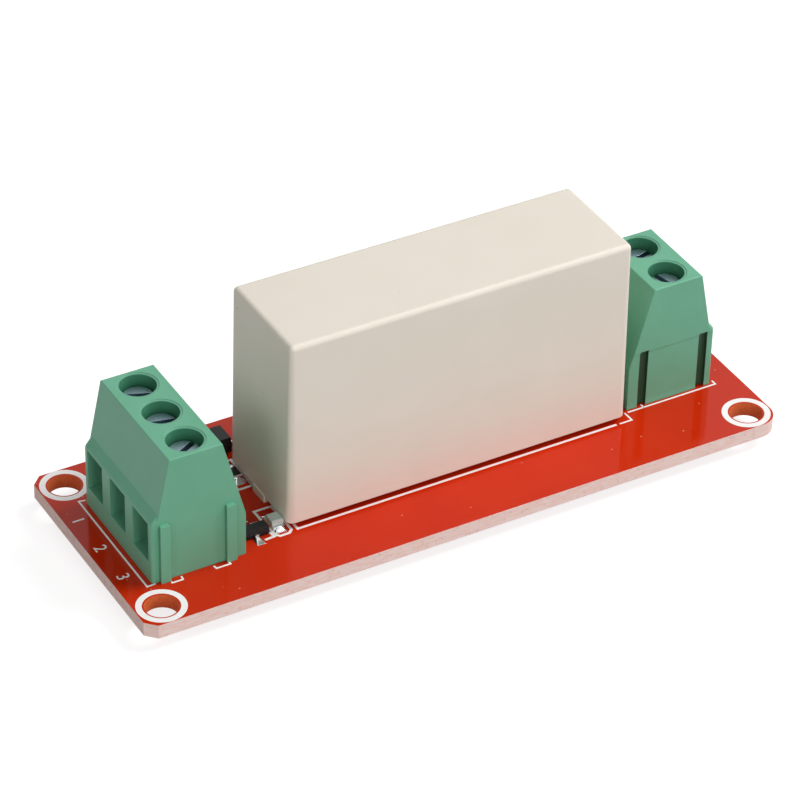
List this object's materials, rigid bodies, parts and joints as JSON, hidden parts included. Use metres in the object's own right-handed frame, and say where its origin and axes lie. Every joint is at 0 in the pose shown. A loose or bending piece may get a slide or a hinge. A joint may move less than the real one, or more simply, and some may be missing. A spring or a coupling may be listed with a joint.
{
  "type": "relay module board",
  "caption": "Circuit module with a board-mounted relay between screw terminal blocks, for switching a load from a low-voltage input.",
  "frame": {"origin": "middle of the four mounting holes, on the underside of the board", "axes": "+X along the board from the input terminal to the output terminal, +Y to the back long edge, +Z out of the component side"},
  "size_m": [0.0734, 0.0272, 0.0252],
  "materials": {
    "board_red": "glossy red solder mask on glass-fibre laminate",
    "terminal_green": "satin moulded nylon",
    "relay_cream": "satin moulded case",
    "potting_black": "cast epoxy",
    "inner_board_green": "laminate",
    "mould_black": "moulded epoxy",
    "zinc_screw": "blue zinc plate",
    "cage_steel": "nickel plate",
    "contact_tin": "tinned brass",
    "solder": "bright solder",
    "lens_resin": "clear cast resin",
    "led_base_white": "white laminate",
    "alumina": "sintered ceramic"
  },
  "bodies": {
    "board": {"circuit_board": "board_red", "input_terminal_housing": "terminal_green", "input_contact_1": "contact_tin", "input_contact_2": "contact_tin", "input_contact_3": "contact_tin", "output_terminal_housing": "terminal_green", "output_contact_1": "contact_tin", "output_contact_2": "contact_tin", "relay_case": "relay_cream", "relay_potting": "potting_black", "relay_inner_board": "inner_board_green", "relay_optocoupler": "mould_black", "relay_power_switch": "mould_black", "relay_pin_1": "contact_tin", "relay_pin_2": "contact_tin", "relay_pin_3": "contact_tin", "relay_pin_4": "contact_tin", "solder_joints": "solder", "led_base": "led_base_white", "led_lens": "lens_resin", "led_end_caps": "solder", "resistor_body": "alumina", "resistor_coat": "mould_black", "resistor_end_caps": "solder", "transistor_body": "mould_black", "transistor_leads": "contact_tin", "diode_body": "mould_black", "diode_leads": "contact_tin", "pad_solder": "solder"},
    "input_screw_1_body": {"input_screw_1": "zinc_screw"},
    "input_clamp_1_body": {"input_clamp_cage_1": "cage_steel"},
    "input_screw_2_body": {"input_screw_2": "zinc_screw"},
    "input_clamp_2_body": {"input_clamp_cage_2": "cage_steel"},
    "input_screw_3_body": {"input_screw_3": "zinc_screw"},
    "input_clamp_3_body": {"input_clamp_cage_3": "cage_steel"},
    "output_screw_1_body": {"output_screw_1": "zinc_screw"},
    "output_clamp_1_body": {"output_clamp_cage_1": "cage_steel"},
    "output_screw_2_body": {"output_screw_2": "zinc_screw"},
    "output_clamp_2_body": {"output_clamp_cage_2": "cage_steel"}
  },
  "joints": [
    {"name": "input_screw_1_turn", "type": "hinge", "parent": "board", "child": "input_screw_1_body", "pos_m": [-0.02835, 0.00505, 0.0128], "axis": [0, 0, -1], "range_deg": [0, 2200.01]},
    {"name": "input_clamp_1_rise", "type": "slide", "parent": "board", "child": "input_clamp_1_body", "axis": [0, 0, 1], "range_m": [0, 0.00275]},
    {"name": "input_screw_2_turn", "type": "hinge", "parent": "board", "child": "input_screw_2_body", "pos_m": [-0.02835, -0.00003, 0.0128], "axis": [0, 0, -1], "range_deg": [0, 2200.01]},
    {"name": "input_clamp_2_rise", "type": "slide", "parent": "board", "child": "input_clamp_2_body", "axis": [0, 0, 1], "range_m": [0, 0.00275]},
    {"name": "input_screw_3_turn", "type": "hinge", "parent": "board", "child": "input_screw_3_body", "pos_m": [-0.02835, -0.00511, 0.0128], "axis": [0, 0, -1], "range_deg": [0, 2200.01]},
    {"name": "input_clamp_3_rise", "type": "slide", "parent": "board", "child": "input_clamp_3_body", "axis": [0, 0, 1], "range_m": [0, 0.00275]},
    {"name": "output_screw_1_turn", "type": "hinge", "parent": "board", "child": "output_screw_1_body", "pos_m": [0.02855, -0.00243, 0.0128], "axis": [0, 0, -1], "range_deg": [0, 2200.01]},
    {"name": "output_clamp_1_rise", "type": "slide", "parent": "board", "child": "output_clamp_1_body", "axis": [0, 0, 1], "range_m": [0, 0.00275]},
    {"name": "output_screw_2_turn", "type": "hinge", "parent": "board", "child": "output_screw_2_body", "pos_m": [0.02855, 0.00265, 0.0128], "axis": [0, 0, -1], "range_deg": [0, 2200.01]},
    {"name": "output_clamp_2_rise", "type": "slide", "parent": "board", "child": "output_clamp_2_body", "axis": [0, 0, 1], "range_m": [0, 0.00275]}
  ],
  "couplings": [
    {"joint": "input_screw_1_turn", "follows": "input_clamp_1_rise", "rad_per_m": 13963},
    {"joint": "input_screw_2_turn", "follows": "input_clamp_2_rise", "rad_per_m": 13963},
    {"joint": "input_screw_3_turn", "follows": "input_clamp_3_rise", "rad_per_m": 13963},
    {"joint": "output_screw_1_turn", "follows": "output_clamp_1_rise", "rad_per_m": 13963},
    {"joint": "output_screw_2_turn", "follows": "output_clamp_2_rise", "rad_per_m": 13963}
  ]
}
